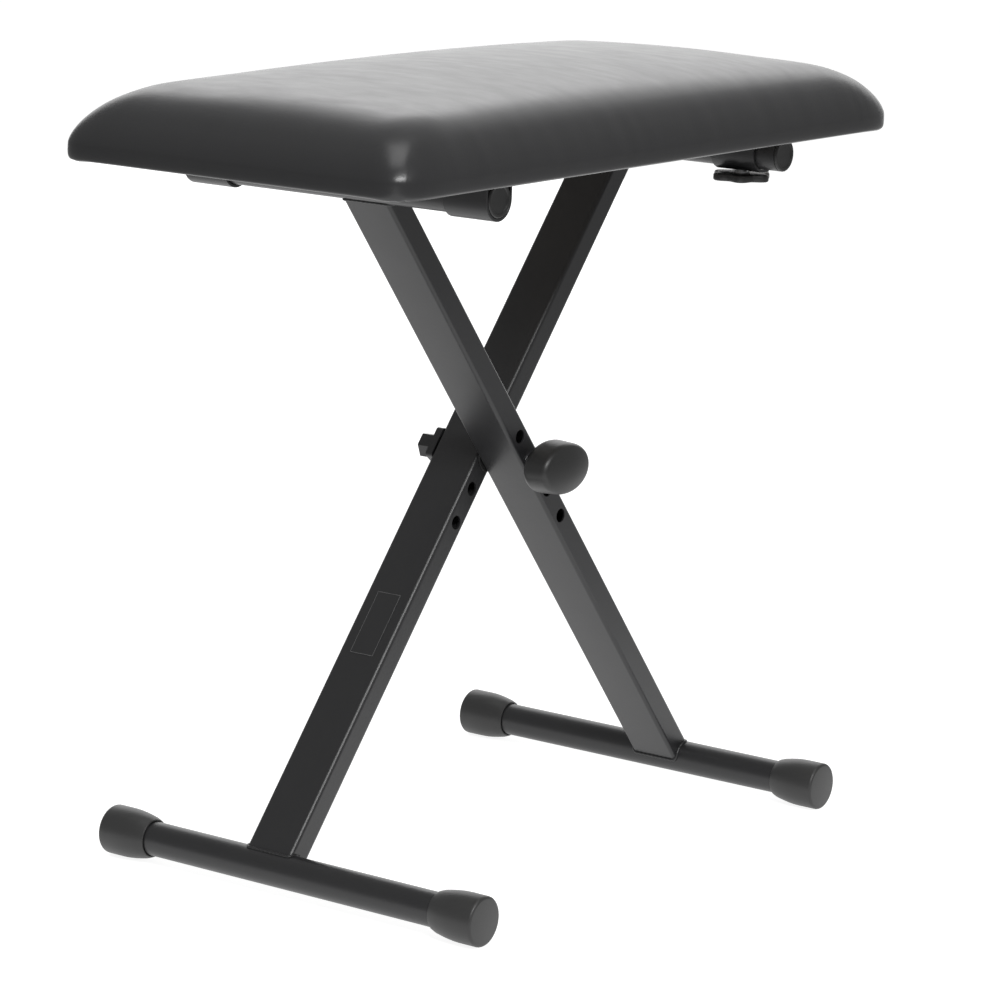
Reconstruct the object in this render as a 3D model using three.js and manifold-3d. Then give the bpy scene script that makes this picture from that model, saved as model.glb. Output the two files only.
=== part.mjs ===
// Folding keyboard bench: two crossed legs with round cross tubes, a padded seat that
// is strapped to one cross tube and caught on the other, and a knobbed pivot bolt.
// Millimetres, +Z up. X runs along the foot tubes, Y along the seat's long side.
// The origin lies on the floor, under the middle of the bench.
import * as THREE from 'three';
import { mergeVertices } from 'three/addons/utils/BufferGeometryUtils.js';
import Module from 'manifold-3d';

const wasm = await Module();
wasm.setup();

// Driving dimensions of the whole bench
const seatLength = 626;
const seatWidth = 302;
const seatThickness = 60.5;
const seatUnderside = 518;
const footSpacing = 443;
const legLean = THREE.MathUtils.degToRad(39.5);
const footSpan = 334;

// Clearances, and how far a cutter runs past what it cuts
const fit = 0.3;
const slideFit = 0.25;
const overrun = 2;

// Leg tube, a rectangular section
const legWide = 40;
const legThin = 20;
const legWall = 1.5;
const legCorner = 3;
const legGap = 1.6;
const holePitch = 29;
const holeSteps = [1, 0, -1, -2];

// Round cross tubes
const tubeDiameter = 25;
const tubeWall = 1.5;

// Rubber foot cap
const capDiameter = 36;
const capRimDiameter = 28;
const capMouthDiameter = 31;
const capLength = 39;
const capLip = 4;
const capFlare = 23;
const capEndWall = 3;
const capEdge = 2.2;

// Plug in the end of a tee tube
const plugFlange = 2.2;
const plugEdge = 0.8;
const plugRim = 2.6;
const plugDish = 0.8;
const plugDepth = 14;
const plugWall = 1.6;

// Pivot bolt, knob, washers, nut plate and nut
const boltDiameter = 10;
const boltChamfer = 1;
const boltTipShow = 2;
const boltInKnob = 20;
const knobWidth = 60;
const knobHeight = 39;
const knobBody = 25;
const knobBack = 6;
const knobBackShare = 0.76;
const knobEdge = 8;
const knobDome = 1.2;
const knobDomeShare = 0.5;
const knobHubDiameter = 22;
const knobHub = 7;
const knobWasherDiameter = 19.5;
const knobWasherThick = 1.5;
const legWasherDiameter = 24;
const nutPlateLength = 25;
const nutPlateWidth = 20;
const nutPlateThick = 5.8;
const nutPlateCorner = 3;
const nutAcross = 17;
const nutThick = 11;
const nutCollarDiameter = 14;
const nutCollar = 1;

// Saddle straps under the first tee tube, catches under the second
const strapThick = 2;
const strapLength = 37;
const strapInset = 0.8;
const strapFlange = 17;
const strapBend = 2;
const catchLength = 38;
const catchInset = 37.5;
const catchLip = 8;
const catchSlotWidth = 9;

// Lock stud and star knob under the second tee tube
const studDiameter = 8;
const studHeadDiameter = 13;
const studHeadThick = 2.6;
const studTipShow = 1.5;
const studChamfer = 0.8;
const starDiameter = 46;
const starLobes = 6;
const starLobeDepth = 5;
const starThick = 5.5;
const starBevel = 1.4;
const insertDiameter = 12;
const insertProud = 1.3;
const insertSunk = 0.8;
const starGap = 0.4;

// Screws in the seat board
const screwDiameter = 4;
const screwHeadDiameter = 8;
const screwHeadThick = 2.4;
const screwFaceShare = 0.6;
const screwRimShare = 0.35;
const screwLength = 8.5;
const screwPoint = 2;
const screwSpreadShare = 0.25;

// Seat: cover, foam and board
const coverThick = 1;
const coverHem = 15;
const coverInnerEdge = 3;
const hemGap = 3.5;
const boardThick = 8;
const boardInset = 3.4;
const seatCorner = 14;
const seatInnerCorner = 36;
const seatBottomEdge = 4;
const seatEdge = 11.5;
const seatCrown = 12.5;
const seatDrawIn = 2.5;
const sideRoll = 48;
const endRoll = 77;
const rollPower = 3;

// Numbers of flats on round pieces
const tubeSides = 40;
const boreSides = 24;
const plugSides = 24;
const knobSides = 36;
const screwSides = 12;
const arcSteps = 4;
const saddleSteps = 10;
const starPoints = 60;
const hexSides = 6;
const seatCornerSteps = 4;
const seatLongSteps = 7;
const seatShortSteps = 5;
const bottomShares = [1, 0.3, 0];
const rollShares = [0, 0.04, 0.14, 0.3, 0.52, 0.76, 1];
const crownShares = [0.78, 0.5, 0.24];

// Sizes and places that follow from the driving dimensions
const tubeRadius = tubeDiameter / 2;
const seatRadius = tubeRadius + fit;
const teeSpan = seatWidth - 2 * (coverHem + hemGap);
const catchCentre = teeSpan / 2 - catchInset;
const footHeight = (capDiameter / 2) * Math.cos(Math.PI / tubeSides);
const footY = footSpacing / 2;
const pivotHeight = footHeight + footY / Math.tan(legLean);
const boardBottom = seatUnderside + coverThick + fit;
const teeHeight = boardBottom - fit - tubeRadius;
const teeY = (teeHeight - pivotHeight) * Math.tan(legLean);
const lowerLeg = footY / Math.sin(legLean);
const upperLeg = teeY / Math.sin(legLean);
const legFace = legGap / 2 + legWide;
const boreRadius = boltDiameter / 2 + slideFit;
const strapX = teeSpan / 2 - strapInset - strapLength / 2;
const saddleOuter = seatRadius + strapThick;

// A closed BufferGeometry as a manifold solid
function toSolid(geometry) {
  const bare = geometry.clone();
  bare.deleteAttribute('normal');
  bare.deleteAttribute('uv');
  const merged = mergeVertices(bare);
  const mesh = new wasm.Mesh({
    numProp: 3,
    vertProperties: new Float32Array(merged.attributes.position.array),
    triVerts: new Uint32Array(merged.index.array)
  });
  mesh.merge();
  return new wasm.Manifold(mesh);
}

// A manifold solid as an indexed BufferGeometry
function toGeometry(solid) {
  const mesh = solid.getMesh();
  const geometry = new THREE.BufferGeometry();
  geometry.setAttribute('position', new THREE.BufferAttribute(mesh.vertProperties, 3));
  geometry.setIndex(new THREE.BufferAttribute(mesh.triVerts, 1));
  return geometry;
}

// The base geometry with every cutter taken out of it
function cut(base, cutters) {
  let solid = toSolid(base);
  for (const cutter of cutters) {
    solid = solid.subtract(toSolid(cutter));
  }
  return toGeometry(solid);
}

// Two overlapping geometries as one
function join(first, second) {
  return toGeometry(toSolid(first).add(toSolid(second)));
}

// Six times the volume that a geometry's triangles enclose, negative if it is inside out
function signedVolume(geometry) {
  const places = geometry.attributes.position;
  const index = geometry.index;
  const corners = [new THREE.Vector3(), new THREE.Vector3(), new THREE.Vector3()];
  let sum = 0;
  for (let i = 0; i < index.count; i += corners.length) {
    corners.forEach((corner, k) => corner.fromBufferAttribute(places, index.getX(i + k)));
    sum += corners[0].dot(corners[1].cross(corners[2]));
  }
  return sum;
}

// Turns the triangles of an inside-out geometry round
function facingOut(geometry) {
  if (signedVolume(geometry) < 0) {
    const order = geometry.index.array;
    for (let i = 0; i < order.length; i += 3) {
      [order[i], order[i + 1]] = [order[i + 1], order[i]];
    }
  }
  return geometry;
}

// A profile of [radius, place] pairs turned round the X axis, with a flat facing down
function turnedAlongX(profile, sides) {
  const points = profile.map(([radius, place]) => new THREE.Vector2(radius, place));
  const geometry = new THREE.LatheGeometry(points, sides);
  geometry.rotateZ(-Math.PI / 2);
  geometry.rotateX(Math.PI / sides);
  return facingOut(geometry);
}

// The same turned round the Z axis
function turnedAlongZ(profile, sides) {
  const points = profile.map(([radius, place]) => new THREE.Vector2(radius, place));
  const geometry = new THREE.LatheGeometry(points, sides);
  geometry.rotateX(Math.PI / 2);
  return facingOut(geometry);
}

// [radius, place] pairs on a quarter circle between two angles
function arc(centreRadius, centrePlace, radius, from, to, steps) {
  const pairs = [];
  for (let i = 0; i <= steps; i += 1) {
    const angle = from + (to - from) * i / steps;
    pairs.push([centreRadius + radius * Math.cos(angle), centrePlace + radius * Math.sin(angle)]);
  }
  return pairs;
}

// [radius, place] pairs of a wall that swells from one radius to another and ends level
function swell(fromRadius, toRadius, from, to) {
  const pairs = [];
  for (let i = 0; i <= arcSteps; i += 1) {
    const grown = Math.sin(Math.PI / 2 * i / arcSteps);
    pairs.push([fromRadius + (toRadius - fromRadius) * grown, from + (to - from) * i / arcSteps]);
  }
  return pairs;
}

// A straight round tube along X, open at both ends
function roundTube(length) {
  const inner = tubeRadius - tubeWall;
  return turnedAlongX([
    [inner, -length / 2],
    [tubeRadius, -length / 2],
    [tubeRadius, length / 2],
    [inner, length / 2],
    [inner, -length / 2]
  ], tubeSides);
}

// A plain rod along X, for pins and cutters
function rodAlongX(radius, from, to, sides) {
  return turnedAlongX([[0, from], [radius, from], [radius, to], [0, to]], sides);
}

// A plain rod along Z
function rodAlongZ(radius, from, to, sides) {
  return turnedAlongZ([[0, from], [radius, from], [radius, to], [0, to]], sides);
}

// A rectangle with round corners as the outline of a shape or a hole
function roundedRectangle(outline, width, height, corner) {
  const x = width / 2 - corner;
  const y = height / 2 - corner;
  outline.absarc(x, y, corner, 0, Math.PI / 2, false);
  outline.absarc(-x, y, corner, Math.PI / 2, Math.PI, false);
  outline.absarc(-x, -y, corner, Math.PI, Math.PI * 1.5, false);
  outline.absarc(x, -y, corner, Math.PI * 1.5, Math.PI * 2, false);
  outline.closePath();
  return outline;
}

// One leg along Z with the pivot at its origin: coped ends, and a row of bolt holes
function legTube() {
  const section = roundedRectangle(new THREE.Shape(), legWide, legThin, legCorner);
  const bore = [legWide - 2 * legWall, legThin - 2 * legWall, legCorner - legWall];
  section.holes.push(roundedRectangle(new THREE.Path(), ...bore));
  const options = { depth: lowerLeg + upperLeg, bevelEnabled: false, curveSegments: arcSteps };
  const tube = new THREE.ExtrudeGeometry(section, options);
  tube.translate(0, 0, -lowerLeg);
  const reach = legWide / 2 + overrun;
  const cutters = [-lowerLeg, upperLeg].map((end) =>
    rodAlongX(seatRadius, -reach, reach, tubeSides).translate(0, 0, end));
  for (const step of holeSteps) {
    cutters.push(rodAlongX(boreRadius, -reach, reach, boreSides).translate(0, 0, step * holePitch));
  }
  return cut(tube, cutters);
}

// Rubber cap: mouth at the origin, closed end towards +X
function footCap() {
  const radius = capDiameter / 2;
  return turnedAlongX([
    [0, capLength - capEndWall],
    [seatRadius, capLength - capEndWall],
    [seatRadius, 0],
    [capRimDiameter / 2, 0],
    ...swell(capMouthDiameter / 2, radius, capLip, capFlare),
    ...arc(radius - capEdge, capLength - capEdge, capEdge, 0, Math.PI / 2, arcSteps),
    [0, capLength]
  ], tubeSides);
}

// Hollow plug: the face of its flange is at the origin, its skirt runs towards -X
function teePlug() {
  const skirt = tubeRadius - tubeWall - fit;
  return turnedAlongX([
    [0, -plugFlange],
    [skirt - plugWall, -plugFlange],
    [skirt - plugWall, -plugDepth],
    [skirt, -plugDepth],
    [skirt, -plugFlange],
    [tubeRadius, -plugFlange],
    [tubeRadius, -plugEdge],
    [tubeRadius - plugEdge, 0],
    [tubeRadius - plugRim, 0],
    [tubeRadius - plugRim - plugDish, -plugDish],
    [0, -plugDish]
  ], plugSides);
}

// Places along X of the pieces on the pivot bolt
const knobWasherFrom = legFace + fit;
const hubFrom = knobWasherFrom + knobWasherThick + fit;
const knobFrom = hubFrom + knobHub;
const knobTo = knobFrom + knobBody;
const nutPlateTo = -legFace - fit;
const nutPlateFrom = nutPlateTo - nutPlateThick;
const nutTo = nutPlateFrom - fit;
const nutFrom = nutTo - nutThick;
const boltFrom = nutFrom - nutCollar - boltTipShow;
const boltTo = hubFrom + boltInKnob;

// Oval knob with a round hub: the flat oval is a turned form drawn out along Y
function pivotKnob() {
  const radius = knobHeight / 2;
  const face = radius - knobEdge;
  const body = turnedAlongX([
    [0, knobFrom],
    ...swell(radius * knobBackShare, radius, knobFrom, knobFrom + knobBack),
    ...arc(face, knobTo - knobDome - knobEdge, knobEdge, 0, Math.PI / 2, arcSteps),
    [face * knobDomeShare, knobTo - knobDome * knobDomeShare ** 2],
    [0, knobTo]
  ], knobSides);
  body.scale(1, knobWidth / knobHeight, 1);
  const hub = rodAlongX(knobHubDiameter / 2, hubFrom, knobFrom + overrun, boreSides);
  const bore = rodAlongX(boltDiameter / 2 + fit, hubFrom - overrun, boltTo + fit, boreSides);
  return cut(join(body, hub), [bore]);
}

function pivotBolt() {
  const radius = boltDiameter / 2;
  return turnedAlongX([
    [0, boltFrom],
    [radius - boltChamfer, boltFrom],
    [radius, boltFrom + boltChamfer],
    [radius, boltTo],
    [0, boltTo]
  ], boreSides);
}

// A flat ring on the pivot bolt
function washer(diameter, from, to) {
  return turnedAlongX([
    [boreRadius, from],
    [diameter / 2, from],
    [diameter / 2, to],
    [boreRadius, to],
    [boreRadius, from]
  ], boreSides);
}

// Plate that carries the captive nut, lying along the second leg
function nutPlate() {
  const section = new THREE.Shape();
  roundedRectangle(section, nutPlateWidth, nutPlateLength, nutPlateCorner);
  const options = { depth: nutPlateThick, bevelEnabled: false, curveSegments: arcSteps };
  const plate = new THREE.ExtrudeGeometry(section, options);
  plate.rotateX(Math.PI / 2);
  plate.rotateZ(Math.PI / 2);
  plate.translate(nutPlateFrom, 0, 0);
  const reach = [nutPlateFrom - overrun, nutPlateTo + overrun];
  return cut(plate, [rodAlongX(boreRadius, ...reach, boreSides)]);
}

// Hexagon nut with a round collar at its outer face
function pivotNut() {
  const hexRadius = nutAcross / 2 / Math.cos(Math.PI / hexSides);
  const hexagon = rodAlongX(hexRadius, nutFrom, nutTo, hexSides);
  const collarReach = nutFrom + overrun;
  const collar = rodAlongX(nutCollarDiameter / 2, nutFrom - nutCollar, collarReach, boreSides);
  const body = join(hexagon, collar);
  return cut(body, [rodAlongX(boreRadius, nutFrom - nutCollar - overrun, nutTo + overrun, boreSides)]);
}

// Section of a strap bent round a tee tube, in Y and Z, with the tube's axis at the origin
function strapSection() {
  const top = tubeRadius;
  const outline = new THREE.Shape();
  outline.moveTo(saddleOuter + strapFlange, top);
  outline.lineTo(seatRadius, top);
  outline.absarc(0, 0, seatRadius, 0, Math.PI, true);
  outline.lineTo(-seatRadius, top);
  outline.lineTo(-saddleOuter - strapFlange, top);
  outline.lineTo(-saddleOuter - strapFlange, top - strapThick);
  outline.lineTo(-saddleOuter - strapBend, top - strapThick);
  outline.lineTo(-saddleOuter, top - strapThick - strapBend);
  outline.absarc(0, 0, saddleOuter, Math.PI, Math.PI * 2, false);
  outline.lineTo(saddleOuter, top - strapThick - strapBend);
  outline.lineTo(saddleOuter + strapBend, top - strapThick);
  outline.lineTo(saddleOuter + strapFlange, top - strapThick);
  outline.closePath();
  return outline;
}

// Section of a catch: a flange, a drop and a flat lip that stays open towards +Y
function catchSection() {
  const top = tubeRadius;
  const outline = new THREE.Shape();
  outline.moveTo(-seatRadius, top);
  outline.lineTo(-saddleOuter - strapFlange, top);
  outline.lineTo(-saddleOuter - strapFlange, top - strapThick);
  outline.lineTo(-saddleOuter - strapBend, top - strapThick);
  outline.lineTo(-saddleOuter, top - strapThick - strapBend);
  outline.absarc(0, 0, saddleOuter, Math.PI, Math.PI * 1.5, false);
  outline.lineTo(catchLip, -saddleOuter);
  outline.lineTo(catchLip, -seatRadius);
  outline.absarc(0, 0, seatRadius, Math.PI * 1.5, Math.PI, true);
  outline.closePath();
  return outline;
}

// A section in Y and Z as a bar along X, centred on the origin
function barAlongX(section, length) {
  const options = { depth: length, bevelEnabled: false, curveSegments: saddleSteps };
  const bar = new THREE.ExtrudeGeometry(section, options);
  bar.rotateX(Math.PI / 2);
  bar.rotateZ(Math.PI / 2);
  bar.translate(-length / 2, 0, 0);
  return bar;
}

// Y places of a flange's screws, from the axis of the tube
const flangeScrewY = saddleOuter + (strapFlange + strapBend) / 2;

// Screw places on a bracket: a pair along X on each flange named by its side
function screwPlaces(length, sides) {
  const places = [];
  for (const side of sides) {
    for (const end of [-1, 1]) {
      places.push([end * length * screwSpreadShare, side * flangeScrewY]);
    }
  }
  return places;
}

// The holes of a bracket's flanges
function flangeHoles(places) {
  const radius = screwDiameter / 2 + fit;
  const reach = [tubeRadius - strapThick - overrun, tubeRadius + overrun];
  return places.map(([x, y]) => rodAlongZ(radius, ...reach, screwSides).translate(x, y, 0));
}

function saddleStrap() {
  return cut(barAlongX(strapSection(), strapLength), flangeHoles(screwPlaces(strapLength, [-1, 1])));
}

// A catch, slotted for the lock stud where it carries one
function teeCatch(slotted) {
  const cutters = flangeHoles(screwPlaces(catchLength, [-1]));
  if (slotted) {
    const reach = catchLip + overrun;
    const depth = saddleOuter + overrun - seatRadius / 2;
    const slot = new THREE.BoxGeometry(catchSlotWidth, reach, depth);
    slot.translate(0, reach / 2, -saddleOuter - overrun + depth / 2);
    const round = rodAlongZ(catchSlotWidth / 2, -saddleOuter - overrun, -seatRadius / 2, boreSides);
    cutters.push(slot, round);
  }
  return cut(barAlongX(catchSection(), catchLength), cutters);
}

// Pan-head screw, head down, with the underside of its head at the origin
function seatScrew() {
  const head = screwHeadDiameter / 2;
  const shank = screwDiameter / 2;
  return turnedAlongZ([
    [0, -screwHeadThick],
    [head * screwFaceShare, -screwHeadThick],
    [head, -screwHeadThick * screwRimShare],
    [head, 0],
    [shank, 0],
    [shank, screwLength - screwPoint],
    [0, screwLength]
  ], screwSides);
}

// Heights below the second tee tube's axis of the stud and the star knob
const studHeadRadius = studHeadDiameter / 2;
const studHeadUnder = -Math.sqrt((tubeRadius - tubeWall) ** 2 - studHeadRadius ** 2) + fit;
const insertTop = -saddleOuter - starGap;
const starTop = insertTop - insertProud;
const starBottom = starTop - starThick;
const studTip = starBottom - studTipShow;

// Headed stud: the head lies inside the tube, the shank hangs out through its lower wall
function lockStud() {
  const radius = studDiameter / 2;
  return turnedAlongZ([
    [0, studTip],
    [radius - studChamfer, studTip],
    [radius, studTip + studChamfer],
    [radius, studHeadUnder],
    [studHeadRadius, studHeadUnder],
    [studHeadRadius, studHeadUnder + studHeadThick],
    [0, studHeadUnder + studHeadThick]
  ], boreSides);
}

// The second tee tube, with the hole that the stud passes
function studdedTube(length) {
  const radius = studDiameter / 2 + slideFit;
  const hole = rodAlongZ(radius, -tubeRadius - overrun, 0, boreSides).translate(catchCentre, 0, 0);
  return cut(roundTube(length), [hole]);
}

// Star knob: a bevelled disc with round lobes, moulded on a threaded insert
function starKnob() {
  const middle = (starDiameter - starLobeDepth) / 2 - starBevel;
  const outline = new THREE.Shape();
  for (let i = 0; i < starPoints; i += 1) {
    const angle = i / starPoints * Math.PI * 2;
    const radius = middle + starLobeDepth / 2 * Math.cos(starLobes * angle);
    outline[i ? 'lineTo' : 'moveTo'](radius * Math.cos(angle), radius * Math.sin(angle));
  }
  outline.closePath();
  const disc = new THREE.ExtrudeGeometry(outline, {
    depth: starThick - 2 * starBevel,
    bevelThickness: starBevel,
    bevelSize: starBevel,
    bevelSegments: 2
  });
  disc.translate(0, 0, starBottom + starBevel);
  const bore = insertDiameter / 2 + fit;
  return cut(disc, [rodAlongZ(bore, starBottom - overrun, starTop + overrun, boreSides)]);
}

// Threaded insert of the star knob, standing proud of it under the catch
function starInsert() {
  const bore = studDiameter / 2 + slideFit;
  const radius = insertDiameter / 2;
  return turnedAlongZ([
    [bore, starBottom + insertSunk],
    [radius, starBottom + insertSunk],
    [radius, insertTop],
    [bore, insertTop],
    [bore, starBottom + insertSunk]
  ], boreSides);
}

// Height of the padded top over a place: an upright edge, a rounded roll along the
// sides and a longer one at the ends, and a low crown
function padHeight(x, y) {
  const roll = (share) => (1 - (1 - Math.min(share, 1)) ** rollPower) ** (2 / rollPower);
  const across = roll(Math.max(seatWidth / 2 - Math.abs(x), 0) / sideRoll);
  const along = roll(Math.max(seatLength / 2 - Math.abs(y), 0) / endRoll);
  const crown = (1 - (2 * x / seatWidth) ** 2) * (1 - (2 * y / seatLength) ** 2);
  return seatEdge + (seatThickness - seatCrown - seatEdge) * across * along + seatCrown * crown;
}

// Places round a rectangle with round corners, as [x, y] pairs
function ringPlaces(halfX, halfY, corner) {
  const centres = [[1, 1], [-1, 1], [-1, -1], [1, -1]];
  const places = [];
  centres.forEach(([signX, signY], quarter) => {
    for (let i = 0; i <= seatCornerSteps; i += 1) {
      const angle = (quarter + i / seatCornerSteps) * Math.PI / 2;
      const x = signX * (halfX - corner) + corner * Math.cos(angle);
      const y = signY * (halfY - corner) + corner * Math.sin(angle);
      places.push([x, y]);
    }
    const [nextX, nextY] = centres[(quarter + 1) % centres.length];
    const [fromX, fromY] = places.at(-1);
    const alongX = signY === nextY;
    const toX = alongX ? nextX * (halfX - corner) : fromX;
    const toY = alongX ? fromY : nextY * (halfY - corner);
    const steps = alongX ? seatShortSteps : seatLongSteps;
    for (let i = 1; i < steps; i += 1) {
      places.push([fromX + (toX - fromX) * i / steps, fromY + (toY - fromY) * i / steps]);
    }
  });
  return places;
}

// A level ring of the seat at a height over its underside
function levelRing(inset, height) {
  const places = ringPlaces(seatWidth / 2 - inset, seatLength / 2 - inset, seatCorner);
  return places.map(([x, y]) => new THREE.Vector3(x, y, seatUnderside + height));
}

// A ring on the padded top. roll runs from 0 at the edge to 1 at the top of the roll,
// and share scales the ring towards the middle. skin is its depth inside the cover.
function paddedRing(roll, share, skin) {
  const halfX = seatWidth / 2 - roll * sideRoll;
  const halfY = seatLength / 2 - roll * endRoll;
  const corner = seatCorner + roll * (seatInnerCorner - seatCorner);
  const draw = 4 * roll * (1 - roll) * seatDrawIn;
  return ringPlaces(halfX, halfY, corner).map(([x, y]) => {
    const pullX = draw * (1 - (y / halfY) ** 2) / halfX;
    const pullY = draw * (1 - (x / halfX) ** 2) / halfY;
    const height = padHeight(x * share, y * share) - skin;
    const inX = share * (1 - pullX - skin / halfX);
    const inY = share * (1 - pullY - skin / halfY);
    return new THREE.Vector3(x * inX, y * inY, seatUnderside + height);
  });
}

// The rings of the padded form from its edge up to its crown
function paddedRings(skin) {
  const rings = rollShares.map((roll) => paddedRing(roll, 1, skin));
  rings.push(...crownShares.map((share) => paddedRing(1, share, skin)));
  return rings;
}

// Whether the diagonal from a to c stands further out than the one from b to d
function splitsOutward(a, b, c, d) {
  const normal = b.clone().sub(a).cross(d.clone().sub(a));
  const middle = new THREE.Vector3(0, 0, seatUnderside);
  return normal.dot(c.clone().sub(a)) * normal.dot(a.clone().sub(middle)) > 0;
}

// Rings of equal count as one closed solid, fanned to a point inside its first and last.
// Each panel between two rings is split so that it bulges outwards.
function ringSolid(rings, tipHeights) {
  const places = [];
  const index = [];
  const count = rings[0].length;
  for (const ring of rings) {
    for (const point of ring) {
      places.push(point.x, point.y, point.z);
    }
  }
  for (let r = 0; r + 1 < rings.length; r += 1) {
    for (let i = 0; i < count; i += 1) {
      const next = (i + 1) % count;
      const low = r * count;
      const high = low + count;
      const panel = [rings[r][i], rings[r][next], rings[r + 1][next], rings[r + 1][i]];
      if (splitsOutward(...panel)) {
        index.push(low + i, low + next, high + next);
        index.push(low + i, high + next, high + i);
      } else {
        index.push(low + i, low + next, high + i);
        index.push(low + next, high + next, high + i);
      }
    }
  }
  const tip = (ring, height, turned) => {
    const centre = places.length / 3;
    places.push(0, 0, height);
    for (let i = 0; i < count; i += 1) {
      const next = (i + 1) % count;
      index.push(...(turned ? [ring + next, ring + i, centre] : [ring + i, ring + next, centre]));
    }
  };
  tip(0, tipHeights[0], true);
  tip((rings.length - 1) * count, tipHeights[1], false);
  const geometry = new THREE.BufferGeometry();
  geometry.setAttribute('position', new THREE.Float32BufferAttribute(places, 3));
  geometry.setIndex(index);
  return facingOut(geometry);
}

// Cover: an open bag that turns under the board as a hem
function seatCover() {
  const crown = seatUnderside + seatThickness;
  return ringSolid([
    ...paddedRings(coverThick).reverse(),
    levelRing(coverThick, seatBottomEdge),
    levelRing(coverInnerEdge, coverThick),
    levelRing(coverHem, coverThick),
    levelRing(coverHem, 0),
    ...bottomShares.map((share, i) =>
      levelRing(seatBottomEdge * share, seatBottomEdge * bottomShares.at(-1 - i))),
    ...paddedRings(0)
  ], [crown - coverThick, crown]);
}

const boardLow = coverThick + fit;
const foamLow = boardLow + boardThick + fit;

// Foam: fills the cover above the board
function seatFoam() {
  const skin = coverThick + fit;
  const rings = [levelRing(skin, foamLow), ...paddedRings(skin)];
  return ringSolid(rings, [seatUnderside + foamLow, seatUnderside + seatThickness - skin]);
}

// Board: a flat panel with a pilot hole for each screw
function seatBoard(screws) {
  const boardTop = boardBottom + boardThick;
  const rings = [levelRing(boardInset, boardLow), levelRing(boardInset, boardLow + boardThick)];
  const panel = ringSolid(rings, [boardBottom, boardTop]);
  const radius = screwDiameter / 2 + fit;
  const depth = screwLength - strapThick + fit;
  return cut(panel, screws.map(([x, y]) =>
    rodAlongZ(radius, boardBottom - overrun, boardBottom + depth, screwSides).translate(x, y, 0)));
}

// Finishes: colour, roughness and metalness
const finishes = {
  powderCoat: new THREE.MeshStandardMaterial({ color: 0x232427, roughness: 0.42, metalness: 0.35 }),
  rubber: new THREE.MeshStandardMaterial({ color: 0x151515, roughness: 0.8, metalness: 0 }),
  plastic: new THREE.MeshStandardMaterial({ color: 0x1a1a1b, roughness: 0.5, metalness: 0 }),
  zinc: new THREE.MeshStandardMaterial({ color: 0xb4b6b8, roughness: 0.35, metalness: 0.9 }),
  vinyl: new THREE.MeshStandardMaterial({ color: 0x1c1c1e, roughness: 0.45, metalness: 0 }),
  foam: new THREE.MeshStandardMaterial({ color: 0xcfc38f, roughness: 0.95, metalness: 0 }),
  plywood: new THREE.MeshStandardMaterial({ color: 0xb08a5a, roughness: 0.75, metalness: 0 })
};

const bench = new THREE.Group();

// Adds a named mesh of one finish to the bench, at a place and a turn
function add(name, geometry, finish, place = [0, 0, 0], turn = [0, 0, 0]) {
  const material = finishes[finish].clone();
  const mesh = new THREE.Mesh(geometry, material);
  mesh.name = name;
  mesh.position.set(...place);
  mesh.rotation.set(...turn);
  bench.add(mesh);
  return mesh;
}

// The two leg frames: leg a stands with its foot at +Y, leg b with its foot at -Y
const legFrames = [
  { letter: 'a', side: 1 },
  { letter: 'b', side: -1 }
];
const ends = [
  { label: 'near', side: 1, turn: 0 },
  { label: 'far', side: -1, turn: Math.PI }
];

for (const { letter, side } of legFrames) {
  const legX = side * (legGap + legWide) / 2;
  add(`leg_tube_${letter}`, legTube(), 'powderCoat', [legX, 0, pivotHeight], [side * legLean, 0, 0]);

  const footTubeLength = footSpan - 2 * (capEndWall + fit);
  add(`foot_tube_${letter}`, roundTube(footTubeLength), 'powderCoat', [0, side * footY, footHeight]);

  const teeTubeLength = teeSpan - 2 * (plugFlange + fit);
  const tee = side > 0 ? roundTube(teeTubeLength) : studdedTube(teeTubeLength);
  add(`tee_tube_${letter}`, tee, 'powderCoat', [0, -side * teeY, teeHeight]);

  for (const end of ends) {
    const capX = end.side * (footSpan / 2 - capLength);
    add(`foot_cap_${letter}_${end.label}`, footCap(), 'rubber',
      [capX, side * footY, footHeight], [0, 0, end.turn]);
    add(`tee_plug_${letter}_${end.label}`, teePlug(), 'plastic',
      [end.side * teeSpan / 2, -side * teeY, teeHeight], [0, 0, end.turn]);
  }
}

// The pivot
const pivot = [0, 0, pivotHeight];
add('pivot_bolt', pivotBolt(), 'zinc', pivot);
add('pivot_knob', pivotKnob(), 'plastic', pivot);
add('knob_washer', washer(knobWasherDiameter, knobWasherFrom, hubFrom - fit), 'zinc', pivot);
add('leg_washer', washer(legWasherDiameter, fit - legGap / 2, legGap / 2 - fit), 'plastic', pivot);
add('nut_plate', nutPlate(), 'powderCoat', pivot, [-legLean, 0, 0]);
add('pivot_nut', pivotNut(), 'powderCoat', pivot, [Math.PI / hexSides - legLean, 0, 0]);

// Brackets and screws under the seat
const strapPlaces = [[strapX, -teeY], [-strapX, -teeY]];
const catchPlaces = [[catchCentre, teeY], [-catchCentre, teeY]];
const strapScrews = [];
const catchScrews = [];

strapPlaces.forEach(([x, y], i) => {
  add(`saddle_strap_${i + 1}`, saddleStrap(), 'powderCoat', [x, y, teeHeight]);
  for (const [dx, dy] of screwPlaces(strapLength, [-1, 1])) {
    strapScrews.push([x + dx, y + dy]);
  }
});
catchPlaces.forEach(([x, y], i) => {
  add(`tee_catch_${i + 1}`, teeCatch(i === 0), 'powderCoat', [x, y, teeHeight]);
  for (const [dx, dy] of screwPlaces(catchLength, [-1])) {
    catchScrews.push([x + dx, y + dy]);
  }
});

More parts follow.
